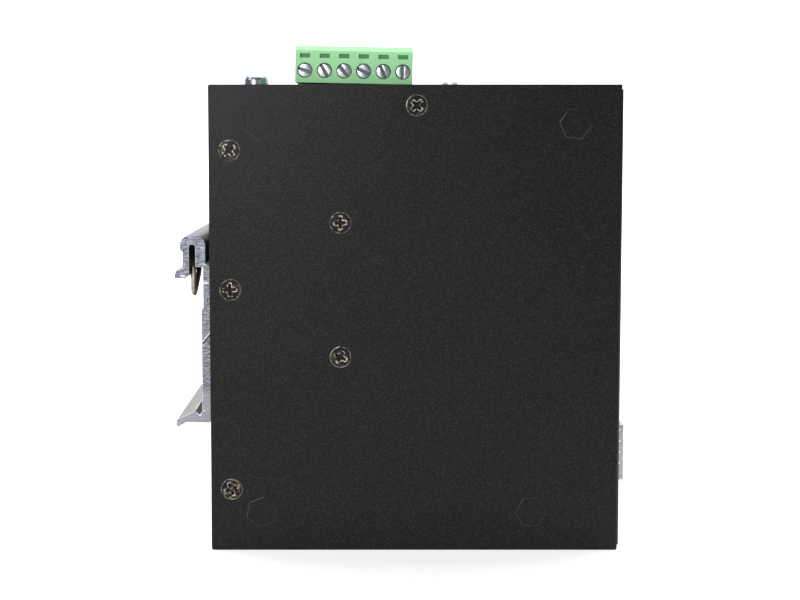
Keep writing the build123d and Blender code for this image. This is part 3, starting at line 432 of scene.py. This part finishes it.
def recess_depth(across, along, reach, half, depth):
    """Depth of a cross recess at a place on the head."""
    def arm(u, v):
        taper = half * (1.15 - 0.35 * abs(u) / reach)
        side = min(1.0, max(0.0, (taper - abs(v)) / (0.18 * half) + 0.5))
        end = min(1.0, max(0.0, (reach - abs(u)) / (0.35 * reach)))
        return side * end ** 0.6
    return depth * max(arm(across, along), arm(along, across))


def screw_template(name, radius, rise, recess, shank_radius, length):
    """One countersunk Phillips screw, its head's rim at height 0 and its shank along -Z.

    The point attribute worn is 1 round the recess and a quarter on the rim, where painted highlights go.
    """
    form = bmesh.new()
    worn = form.verts.layers.float.new("worn")
    around, rings = 72, 26
    reach, half = recess
    deep = 0.42 * radius
    angles = [2 * math.pi * step / around for step in range(around)]
    turns = [(math.cos(angle), math.sin(angle)) for angle in angles]

    def top(r):
        return rise - rise * max(0.0, (r / radius - 0.9) / 0.1) ** 2

    centre = form.verts.new((0, 0, top(0) - recess_depth(0, 0, reach, half, deep)))
    centre[worn] = 0.2
    loops = []
    for ring in range(1, rings + 1):
        r = radius * (ring / rings) ** 0.9
        loop = []
        for across, along in turns:
            x, y = r * across, r * along
            sink = recess_depth(x, y, reach, half, deep)
            beside = recess_depth(x, y, 1.12 * reach, 1.4 * half, 1.0)
            vert = form.verts.new((x, y, top(r) - sink))
            # Painted highlight zone: the recess edges get 1, the outermost rings a quarter
            rim = 0.25 if ring >= rings - 1 else 0.0
            vert[worn] = 1.0 if beside > 0.25 and sink < 0.7 * deep else rim
            loop.append(vert)
        loops.append(loop)
    profile = [
        (radius, -0.03 * radius), (shank_radius, shank_radius - radius), (shank_radius, -length),
        (0.7 * shank_radius, -length - 0.3 * shank_radius),
    ]
    for r, z in profile:
        loops.append([form.verts.new((r * across, r * along, z)) for across, along in turns])
    tip = form.verts.new((0, 0, profile[-1][1]))
    for step in range(around):
        after = (step + 1) % around
        form.faces.new((centre, loops[0][step], loops[0][after]))
        for inner, outer in zip(loops, loops[1:]):
            form.faces.new((inner[step], outer[step], outer[after], inner[after]))
        form.faces.new((tip, loops[-1][after], loops[-1][step]))
    return set_down(name, plain_mesh(name, form))


def scatter_tree():
    """Geometry Nodes: a fastener on each point, turned as the point's attribute says."""
    tree = bpy.data.node_groups.new("fastener_scatter", "GeometryNodeTree")
    tree.interface.new_socket("Places", in_out="INPUT", socket_type="NodeSocketGeometry")
    tree.interface.new_socket("Fastener", in_out="INPUT", socket_type="NodeSocketObject")
    tree.interface.new_socket("Size", in_out="INPUT", socket_type="NodeSocketFloat")
    tree.interface.new_socket("Finish", in_out="INPUT", socket_type="NodeSocketMaterial")
    tree.interface.new_socket("Fasteners", in_out="OUTPUT", socket_type="NodeSocketGeometry")
    nodes, link = tree.nodes, tree.links.new
    given = nodes.new("NodeGroupInput")
    made = nodes.new("NodeGroupOutput")
    fastener = nodes.new("GeometryNodeObjectInfo")
    turning = nodes.new("GeometryNodeInputNamedAttribute")
    turning.data_type = "FLOAT_VECTOR"
    turning.inputs["Name"].default_value = "turning"
    rotation = nodes.new("FunctionNodeEulerToRotation")
    instances = nodes.new("GeometryNodeInstanceOnPoints")
    realized = nodes.new("GeometryNodeRealizeInstances")
    finish = nodes.new("GeometryNodeSetMaterial")
    link(given.outputs["Fastener"], fastener.inputs["Object"])
    link(turning.outputs["Attribute"], rotation.inputs["Euler"])
    link(given.outputs["Places"], instances.inputs["Points"])
    link(fastener.outputs["Geometry"], instances.inputs["Instance"])
    link(rotation.outputs["Rotation"], instances.inputs["Rotation"])
    link(given.outputs["Size"], instances.inputs["Scale"])
    link(instances.outputs["Instances"], realized.inputs["Geometry"])
    link(realized.outputs["Geometry"], finish.inputs["Geometry"])
    link(given.outputs["Finish"], finish.inputs["Material"])
    link(finish.outputs["Geometry"], made.inputs["Fasteners"])
    return tree


def socket_names(tree):
    """The identifier of each named input of a node group."""
    return {item.name: item.identifier for item in tree.interface.items_tree if item.in_out == "INPUT"}


def scatter(name, template, places, finish, wear=None):
    """Fasteners at places: each a point, the direction that its shank goes, and its turn."""
    mesh = bpy.data.meshes.new(name)
    mesh.from_pydata([point for point, _, _ in places], [], [])
    mesh.attributes.new("turning", "FLOAT_VECTOR", "POINT")
    mesh.attributes.new("rubbed", "FLOAT", "POINT")
    for index, (_, inward, turn) in enumerate(places):
        upright = Vector((0, 0, -1)).rotation_difference(Vector(inward))
        spin = Matrix.Rotation(math.radians(turn), 4, "Z")
        mesh.attributes["turning"].data[index].vector = (upright.to_matrix().to_4x4() @ spin).to_euler()
        mesh.attributes["rubbed"].data[index].value = wear[index] if wear else 0.4
    piece = set_down(name, mesh)
    modifier = piece.modifiers.new("scatter", "NODES")
    modifier.node_group = SCATTER
    names = socket_names(SCATTER)
    modifier[names["Fastener"]] = template
    modifier[names["Size"]] = 1.0
    modifier[names["Finish"]] = finish.material
    bake(piece)
    smooth(piece.data, 28)
    return piece


SCATTER = scatter_tree()
HEAD_RADIUS = 2.66 * MM
HEAD_RISE = 0.05 * MM
RECESS = (1.72 * MM, 0.44 * MM)
SHANK_RADIUS, SHANK_LENGTH = 1.45 * MM, 5.0 * MM
FLAT_SCREW = screw_template("flat_screw", HEAD_RADIUS, HEAD_RISE, RECESS, SHANK_RADIUS, SHANK_LENGTH)

FRONT = PANEL_HIGH.x
CASE_LENGTH = 105.4 * MM
REAR = FRONT - CASE_LENGTH
NEAR, FAR = PANEL_LOW.y, PANEL_HIGH.y

# Each screw: forward of the rear face, up from the bottom, turn in degrees, share rubbed brown
CASE_SCREWS = [
    (5.2, 103.3, 38, 0.35),
    (5.2, 67.75, 4, 0.35),
    (5.2, 16.0, 20, 1.0),
    (52.8, 114.7, 45, 0.3),
]
BLOCK_FORWARD, BLOCK_UP, BLOCK_SCREW_OFFSET = 33.4 * MM, 67.65 * MM, 17.25 * MM


# Case

# Limits of the depth of a countersink and of the length of the folds at the front
SINK_DEPTH, FRONT_FOLD = 1.15 * MM, 3 * MM


def countersink(face):
    """Countersinks are the only slanted faces of the near and far panels."""
    tilt = abs(face.normal.y)
    middle = face.calc_center_median()
    flush = min(middle.y - NEAR, FAR - middle.y) < SINK_DEPTH
    return int(0.3 < tilt < 0.97 and flush and middle.x < FRONT - FRONT_FOLD)


# Painted highlight: the countersinks are bright grey metal, a thin light ring round each screw head
COUNTERSINK_HIGHLIGHT = bright_metal("rubbed_rim", (0.3, 0.3, 0.3), (0.4, 0.4, 0.41), 0.4)
dress("front_wrap", 0.14 * MM, 2, [FINISHES["black_paint"], COUNTERSINK_HIGHLIGHT], countersink, folded=True)
dress("rear_channel", 0.14 * MM, folded=True)

panel_screws = []
for side, inward in ((NEAR, (0, 1, 0)), (FAR - HEAD_RISE, (0, -1, 0))):
    for forward, up, turn, _ in CASE_SCREWS:
        panel_screws.append(((REAR + forward * MM, side, up * MM), inward, turn if side == NEAR else -turn))
rubbed = [wear for *_, wear in CASE_SCREWS] * 2
case_screws = scatter("case_screws.heads", FLAT_SCREW, panel_screws, FINISHES["black_screw"], rubbed)
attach(case_screws, "case")
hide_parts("case_screws")

block_places = [
    ((REAR + BLOCK_FORWARD, NEAR, BLOCK_UP + side * BLOCK_SCREW_OFFSET), (0, 1, 0), turn)
    for side, turn in ((-1, 62), (1, 2))
]
rubbed = [0.35, 0.25]
block_screws = scatter("heat_block_screws.heads", FLAT_SCREW, block_places, FINISHES["black_screw"], rubbed)
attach(block_screws, "case")
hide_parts("heat_block_screws")


def bare(face):
    """The part of a standoff that is inside the case, where no paint reaches."""
    return face.calc_center_median().y > NEAR + 0.2 * MM


TIGHT_PAINT = Finish("tight_paint", (0.012, 0.012, 0.0125), 0.26, Specular_IOR_Level=0.7)
TIGHT_PAINT.set("Roughness", 0.2 + TIGHT_PAINT.noise(0.6 * MM, 3.0) * 0.2)


def standoff_face(face):
    """Painted over outside the case, with the paint drawn tight round the edge."""
    if bare(face):
        return 1
    return 0 if abs(face.normal.y) > 0.95 else 2


dress(
    "board_standoffs", 0.05 * MM, 2, [FINISHES["black_paint"], FINISHES["zinc_steel"], TIGHT_PAINT],
    standoff_face, edge_finish=2,
)


# Rail clip

def clip_end(face):
    """The two sawn ends of the extrusion."""
    return int(abs(face.normal.y) > 0.9)


CLEAN_EDGE = milled_aluminium()
CLIP_PLATE = 2.0 * MM
dress(
    "din_clip", 0.16 * MM, 2, [FINISHES["clip_aluminium"], SAWN, CLEAN_EDGE], clip_end,
    edge_finish=2, angle=45,
)
dress("din_spring", crease=60)
clip_places = []
for across in (-14 * MM, 14 * MM):
    for up, turn in ((43 * MM, 38), (59 * MM, 4)):
        clip_places.append(((REAR - CLIP_PLATE, across, up), (1, 0, 0), turn))


# Terminal block

# Painted shade: the walls and floors of the test windows are a darker green
WINDOW_SHADE = moulded("green_shade", (0.05, 0.21, 0.07), (0.08, 0.29, 0.1), 0.5)
# Where the test windows are, down from the top of the plug and in from its near face
WINDOW_UPPER, WINDOW_LOWER, WINDOW_DEPTH = 1.2 * MM, 4.3 * MM, 3 * MM


def plug_window(face):
    """Walls and floors of the test windows above the screws."""
    middle = face.calc_center_median()
    level = PLUG_HIGH.z - WINDOW_LOWER < middle.z < PLUG_HIGH.z - WINDOW_UPPER
    sunk = 0.05 * MM < middle.y - PLUG_LOW.y < WINDOW_DEPTH
    return int(level and sunk and PLUG_LOW.x + MM < middle.x < PLUG_HIGH.x - MM)


dress("terminal_plug", 0.12 * MM, 2, [FINISHES["green_plastic"], WINDOW_SHADE], plug_window)
dress("terminal_header", 0.1 * MM)
SLOT_SHADE = bright_metal("slot_shade", (0.1, 0.105, 0.115), (0.07, 0.08, 0.095), 0.4)
SLOT_DEPTH, SLOT_REACH = 1.3 * MM, 1.4 * MM


def slot_of(node):
    """Picks the faces of the driver slot, between the head's face and its rim."""
    screw_low, screw_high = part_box(node)
    centre = (screw_low + screw_high) / 2

    def inside(face):
        middle = face.calc_center_median()
        off_axis = math.hypot(middle.x - centre.x, middle.z - centre.z)
        return int(0.1 * MM < middle.y - screw_low.y < SLOT_DEPTH and off_axis < SLOT_REACH)

    return inside


for pole in range(1, 7):
    screw = f"terminal_screw_{pole}"
    dress(screw, 0.07 * MM, 2, [FINISHES["zinc_steel"], SLOT_SHADE], slot_of(screw), angle=40)
    dress(f"terminal_clamp_{pole}", 0.05 * MM)


# Ports and switches

for port in range(1, 5):
    dress(f"rj45_shield_{port}", 0.05 * MM)
    dress(f"rj45_insert_{port}", 0.05 * MM)
dress("sfp_cage", 0.04 * MM)
dress("dip_switch_body", 0.08 * MM)
dress("dip_lever_1", 0.1 * MM)
dress("dip_lever_2", 0.1 * MM)
dress("light_pipes", crease=40)
dress("light_pipe_holder", 0.1 * MM)


# Ground screw

def washer_tree():
    """Geometry Nodes: a ring with twisted teeth set round it."""
    tree = bpy.data.node_groups.new("toothed_ring", "GeometryNodeTree")
    tree.interface.new_socket("Ring", in_out="INPUT", socket_type="NodeSocketGeometry")
    tree.interface.new_socket("Tooth", in_out="INPUT", socket_type="NodeSocketObject")
    tree.interface.new_socket("Teeth", in_out="INPUT", socket_type="NodeSocketInt")
    tree.interface.new_socket("Seat", in_out="INPUT", socket_type="NodeSocketVector")
    tree.interface.new_socket("Finish", in_out="INPUT", socket_type="NodeSocketMaterial")
    tree.interface.new_socket("Washer", in_out="OUTPUT", socket_type="NodeSocketGeometry")
    nodes, link = tree.nodes, tree.links.new
    given = nodes.new("NodeGroupInput")
    made = nodes.new("NodeGroupOutput")
    # The teeth are already set out from the axis, so the circle only counts them
    circle = nodes.new("GeometryNodeMeshCircle")
    circle.inputs["Radius"].default_value = 0.001 * MM
    tooth = nodes.new("GeometryNodeObjectInfo")
    index = nodes.new("GeometryNodeInputIndex")
    share = nodes.new("ShaderNodeMath")
    share.operation = "DIVIDE"
    turn = nodes.new("ShaderNodeMath")
    turn.operation = "MULTIPLY"
    turn.inputs[1].default_value = 2 * math.pi
    spin = nodes.new("ShaderNodeCombineXYZ")
    rotation = nodes.new("FunctionNodeEulerToRotation")
    instances = nodes.new("GeometryNodeInstanceOnPoints")
    realized = nodes.new("GeometryNodeRealizeInstances")
    joined = nodes.new("GeometryNodeJoinGeometry")
    seated = nodes.new("GeometryNodeSetPosition")
    finish = nodes.new("GeometryNodeSetMaterial")
    link(given.outputs["Teeth"], circle.inputs["Vertices"])
    link(given.outputs["Tooth"], tooth.inputs["Object"])
    link(index.outputs[0], share.inputs[0])
    link(given.outputs["Teeth"], share.inputs[1])
    link(share.outputs[0], turn.inputs[0])
    link(turn.outputs[0], spin.inputs["Z"])
    link(spin.outputs[0], rotation.inputs["Euler"])
    link(circle.outputs["Mesh"], instances.inputs["Points"])
    link(tooth.outputs["Geometry"], instances.inputs["Instance"])
    link(rotation.outputs["Rotation"], instances.inputs["Rotation"])
    link(instances.outputs["Instances"], realized.inputs["Geometry"])
    link(realized.outputs["Geometry"], joined.inputs["Geometry"])
    link(given.outputs["Ring"], joined.inputs["Geometry"])
    link(joined.outputs["Geometry"], seated.inputs["Geometry"])
    link(given.outputs["Seat"], seated.inputs["Offset"])
    link(seated.outputs["Geometry"], finish.inputs["Geometry"])
    link(given.outputs["Finish"], finish.inputs["Material"])
    link(finish.outputs["Geometry"], made.inputs["Washer"])
    return tree


def ring_mesh(name, inner, outer, thickness, steps=64):
    """A flat ring round the Z axis, its lower face at height 0."""
    form = bmesh.new()
    loops = []
    for r, z in ((inner, 0), (outer, 0), (outer, thickness), (inner, thickness)):
        turns = [2 * math.pi * s / steps for s in range(steps)]
        loops.append([form.verts.new((r * math.cos(t), r * math.sin(t), z)) for t in turns])
    for n in range(4):
        one, two = loops[n], loops[(n + 1) % 4]
        for s in range(steps):
            after = (s + 1) % steps
            form.faces.new((one[s], one[after], two[after], two[s]))
    bmesh.ops.recalc_face_normals(form, faces=form.faces)
    return plain_mesh(name, form)


def tooth_mesh(name, inner, outer, wide, thickness, rise):
    """One tooth, twisted about its length as far as its seat leaves room."""
    form = bmesh.new()
    steps = 4
    loops = []
    for n in range(steps + 1):
        r = inner + (outer - inner) * n / steps
        tilt = math.radians(24) * n / steps
        half = wide / 2 * (0.75 + 0.25 * n / steps)
        corners = []
        thin = thickness / 2
        for u, v in ((-half, -thin), (half, -thin), (half, thin), (-half, thin)):
            y = u * math.cos(tilt) - v * math.sin(tilt)
            z = u * math.sin(tilt) + v * math.cos(tilt)
            corners.append(form.verts.new((r, y, min(rise / 2, max(-rise / 2, z)) + rise / 2)))
        loops.append(corners)
    for one, two in zip(loops, loops[1:]):
        for c in range(4):
            form.faces.new((one[c], two[c], two[(c + 1) % 4], one[(c + 1) % 4]))
    form.faces.new(loops[0])
    form.faces.new(list(reversed(loops[-1])))
    bmesh.ops.recalc_face_normals(form, faces=form.faces)
    return plain_mesh(name, form)


dress("ground_screw", crease=40)
washer_low, washer_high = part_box("ground_washer")
tooth_form = tooth_mesh(
    "washer_tooth", inner=3.1 * MM, outer=4.25 * MM, wide=1.5 * MM, thickness=0.34 * MM, rise=0.6 * MM
)
tooth = set_down("washer_tooth", tooth_form)
ring_form = ring_mesh("ground_washer.teeth", inner=1.8 * MM, outer=3.4 * MM, thickness=0.5 * MM)
washer = set_down("ground_washer.teeth", ring_form)
toothing = washer.modifiers.new("teeth", "NODES")
toothing.node_group = washer_tree()
inputs = socket_names(toothing.node_group)
toothing[inputs["Tooth"]] = tooth
toothing[inputs["Teeth"]] = 14
seat = (washer_low + washer_high) / 2
toothing[inputs["Seat"]] = (seat.x, seat.y, washer_low.z)
toothing[inputs["Finish"]] = FINISHES["zinc_steel"].material
bake(washer)
smooth(washer.data)
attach(washer, "case")
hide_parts("ground_washer")

clip_screws = scatter("din_clip_screws.heads", FLAT_SCREW, clip_places, FINISHES["black_screw"])
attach(clip_screws, "case")
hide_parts("din_clip_screws")

for template in (FLAT_SCREW, tooth):
    bpy.data.objects.remove(template, do_unlink=True)

for node, solid in NODES.items():
    for slot in solid.material_slots:
        slot.material = FINISHES[SLOT_OF[node]].material


# Camera

lens = bpy.data.cameras.new("camera")
lens.sensor_width = 36.0
lens.lens = 56.753
lens.shift_x = 0.0283
lens.shift_y = -0.11
lens.clip_start = 0.01
camera = set_down("camera", lens)
camera.location = (-9.84 * MM, -345.0 * MM, 108.97 * MM)
camera.rotation_euler = (math.radians(90 - 3.808), 0.0, 0.0)
bpy.context.scene.camera = camera


# Floor, backdrop and light

def sweep_mesh(name, profile, half_width):
    """A seamless paper sweep: a floor that curves up into a backdrop."""
    form = bmesh.new()
    rows = [[form.verts.new((x, y, z)) for x in (-half_width, half_width)] for y, z in profile]
    for one, two in zip(rows, rows[1:]):
        form.faces.new((one[0], one[1], two[1], two[0]))
    return plain_mesh(name, form)


FLOOR_START, BEND_START, BEND_RADIUS, BACKDROP_TOP = -3.0, 0.7, 0.5, 3.0
profile = [(FLOOR_START, 0.0), (BEND_START, 0.0)]
for step in range(1, 17):
    bend = math.pi / 32 * step
    back = BEND_START + BEND_RADIUS * math.sin(bend)
    profile.append((back, BEND_RADIUS - BEND_RADIUS * math.cos(bend)))
profile += [(BEND_START + BEND_RADIUS, BACKDROP_TOP)]
sweep = set_down("paper_sweep", sweep_mesh("paper_sweep", profile, 4.0))
sweep.location.z = -0.02 * MM
paper = Finish("white_paper", (0.9, 0.9, 0.9), 0.9, Emission_Strength=0.6)
lit = paper.axis("Y").above(-0.06, 0.1)
paper.set("Emission Color", paper.mix((0.0, 0.0, 0.0), (1.0, 1.0, 1.0), lit))
paper.set("Roughness", 0.85 + paper.noise(20 * MM) * 0.1)
sweep.data.materials.append(paper.material)
smooth(sweep.data, 60)


def softbox(name, place, aim, size, power):
    """A rectangular area light, turned to face a point."""
    light = bpy.data.lights.new(name, "AREA")
    light.shape = "RECTANGLE"
    light.size, light.size_y = size
    light.energy = power
    lamp = set_down(name, light)
    lamp.location = place
    lamp.rotation_euler = (Vector(aim) - Vector(place)).to_track_quat("-Z", "Y").to_euler()


# Each with its place, the point that it faces, its size in metres and its power in watts
softbox("key_left", (-1.5, -1.0, 1.2), (0.0, 0.0, 0.06), (0.7, 0.7), 7.5)
softbox("sheen", (-0.36, -1.2, 0.33), (0.0, 0.0, 0.06), (0.3, 0.3), 7.0)
softbox("top", (-0.1, -0.1, 1.0), (0.0, 0.0, 0.05), (0.9, 0.7), 2.8)
softbox("fill_right", (0.75, -1.0, 0.1), (0.0, 0.0, 0.06), (0.5, 0.5), 1.2)
softbox("rear_fill", (-1.1, 0.8, 0.45), (-0.05, 0.0, 0.06), (0.6, 0.6), 4.0)
softbox("paper_light", (0.0, 0.35, 1.6), (0.0, 1.0, 0.1), (2.4, 0.6), 26.0)

world = bpy.context.scene.world or bpy.data.worlds.new("studio")
bpy.context.scene.world = world
world.use_nodes = True
world.node_tree.nodes["Background"].inputs["Color"].default_value = (1.0, 1.0, 1.0, 1.0)
world.node_tree.nodes["Background"].inputs["Strength"].default_value = 0.1

bpy.context.scene.view_settings.view_transform = "Standard"
